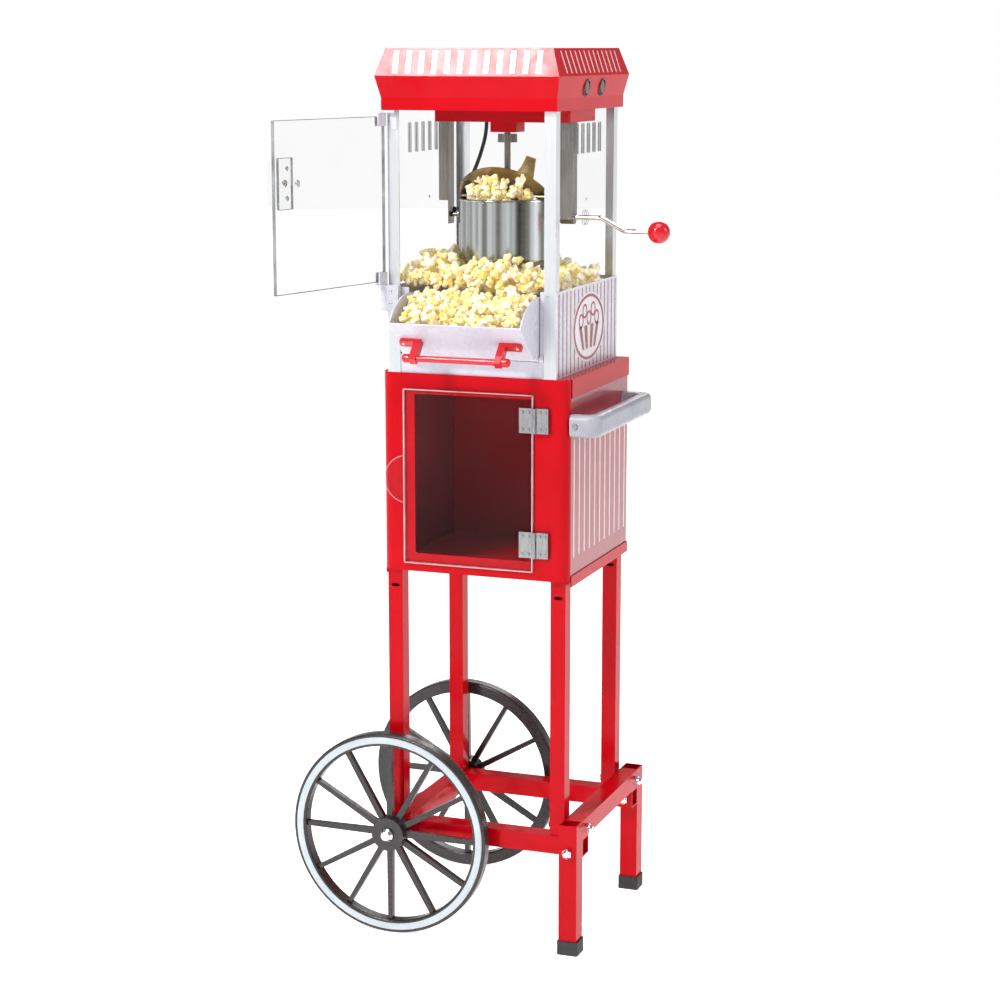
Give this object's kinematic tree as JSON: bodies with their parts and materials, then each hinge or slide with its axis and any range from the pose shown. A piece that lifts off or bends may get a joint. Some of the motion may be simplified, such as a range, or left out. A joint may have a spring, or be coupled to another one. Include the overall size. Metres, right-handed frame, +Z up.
{
  "type": "popcorn cart",
  "caption": "Tall popcorn cart: tilting kettle in a clear case under a red canopy, on a storage cabinet with legs, spoked wheels and a push handle.",
  "frame": {"origin": "on the floor under the middle of the cabinet", "axes": "+Z up, front faces -Y, wheels at the -X end, push handle at the +X end"},
  "size_m": [0.4628, 0.4995, 1.143],
  "materials": {
    "red_metal": "glossy powder coat, saturated red",
    "striped_red_metal": "glossy dark red with thin white stripes",
    "white_metal": "semi-gloss white with a lilac cast",
    "striped_white_metal": "semi-gloss lilac white with thin red stripes",
    "badge": "glossy oval plate with a red border",
    "post_aluminium": "satin anodised",
    "window_acrylic": "clear",
    "door_acrylic": "clear with bright edges",
    "wheel_plastic": "satin black-brown",
    "chrome": "polished",
    "bright_steel": "plain turned steel",
    "rubber": "matt black",
    "handle_grey": "satin silver grey",
    "hinge_steel": "zinc-plated grey",
    "kettle_steel": "polished stainless steel",
    "heater_aluminium": "cast, dull",
    "lid_bronze": "brushed, heat tinted",
    "hanger_steel": "dark brushed steel",
    "red_plastic": "glossy red",
    "rocker_red": "glossy dark red",
    "black_plastic": "satin black",
    "cable_black": "heat-proof sleeve, matt",
    "lamp_glass": "frosted",
    "white_plastic": "white"
  },
  "bodies": {
    "cart": {"canopy": "red_metal", "motor_housing": "red_metal", "gear_box": "red_metal", "cabinet_front": "red_metal", "cabinet_floor": "red_metal", "cabinet_top": "red_metal", "cabinet_back": "red_metal", "legs": "red_metal", "rails": "red_metal", "left_cross_bar": "red_metal", "right_cross_bar": "red_metal", "feet": "red_metal", "cabinet_sides": "striped_red_metal", "base_front": "white_metal", "base_pan": "white_metal", "base_side_panels": "striped_white_metal", "side_badges": "badge", "corner_posts": "post_aluminium", "side_windows": "window_acrylic", "back_window": "window_acrylic", "axle_caps": "chrome", "cap_nuts": "chrome", "frame_bolts": "chrome", "axle": "bright_steel", "axle_spacers": "bright_steel", "tray_rod": "bright_steel", "foot_caps": "rubber", "push_handle": "handle_grey", "cabinet_hinge_leaves": "hinge_steel", "cabinet_hinge_pads": "hinge_steel", "cabinet_hinge_pins": "hinge_steel", "body_screws": "hinge_steel", "kettle_hangers": "hanger_steel", "ceiling_plate": "hanger_steel", "switch_bezels": "black_plastic", "cable_glands": "black_plastic", "stir_motor": "black_plastic", "kettle_cable": "cable_black", "lamp": "lamp_glass", "popper_door_brackets": "white_plastic"},
    "front_wheel": {"front_wheel": "wheel_plastic"},
    "rear_wheel": {"rear_wheel": "wheel_plastic"},
    "cabinet_door": {"cabinet_door": "door_acrylic", "cabinet_door_leaves": "hinge_steel", "cabinet_door_screws": "hinge_steel"},
    "popper_door": {"popper_door": "door_acrylic", "popper_door_fittings": "white_plastic", "popper_door_pull": "door_acrylic"},
    "tray": {"tray": "white_metal", "tray_bar": "red_plastic", "tray_bar_mounts": "red_plastic"},
    "kettle": {"kettle_pot": "kettle_steel", "heater_base": "heater_aluminium", "kettle_lid": "lid_bronze", "kettle_handle": "chrome", "handle_ball": "red_plastic"},
    "lid_flap": {"lid_flap": "lid_bronze"},
    "stirrer": {"stirrer": "hanger_steel"},
    "front_rocker": {"front_rocker": "rocker_red"},
    "rear_rocker": {"rear_rocker": "rocker_red"}
  },
  "joints": [
    {"name": "front_wheel_spin", "type": "hinge", "parent": "cart", "child": "front_wheel", "pos_m": [-0.111, -0.139, 0.135], "axis": [0, 1, 0], "continuous": true},
    {"name": "rear_wheel_spin", "type": "hinge", "parent": "cart", "child": "rear_wheel", "pos_m": [-0.111, 0.139, 0.135], "axis": [0, 1, 0], "continuous": true},
    {"name": "cabinet_door_swing", "type": "hinge", "parent": "cart", "child": "cabinet_door", "pos_m": [0.0832, -0.1302, 0.6], "axis": [0, 0, 1], "range_deg": [0, 170]},
    {"name": "popper_door_swing", "type": "hinge", "parent": "cart", "child": "popper_door", "pos_m": [-0.1175, -0.128, 0.95], "axis": [0, 0, 1], "range_deg": [-60, 103]},
    {"name": "tray_tilt", "type": "hinge", "parent": "cart", "child": "tray", "pos_m": [0, -0.119, 0.765], "axis": [1, 0, 0], "range_deg": [-46.7, 0]},
    {"name": "kettle_tilt", "type": "hinge", "parent": "cart", "child": "kettle", "pos_m": [0, 0, 0.932], "axis": [1, 0, 0], "range_deg": [0, 60]},
    {"name": "lid_flap_lift", "type": "hinge", "parent": "kettle", "child": "lid_flap", "pos_m": [0, -0.0066, 0.9586], "axis": [-1, 0, 0], "range_deg": [-44, 40]},
    {"name": "stirrer_spin", "type": "hinge", "parent": "cart", "child": "stirrer", "pos_m": [0, 0, 0.95], "axis": [0, 0, 1], "continuous": true},
    {"name": "front_rocker_press", "type": "hinge", "parent": "cart", "child": "front_rocker", "pos_m": [0.11182, -0.028, 1.09498], "axis": [0, 1, 0], "range_deg": [0, 16]},
    {"name": "rear_rocker_press", "type": "hinge", "parent": "cart", "child": "rear_rocker", "pos_m": [0.11182, 0.033, 1.09498], "axis": [0, 1, 0], "range_deg": [0, 16]}
  ]
}
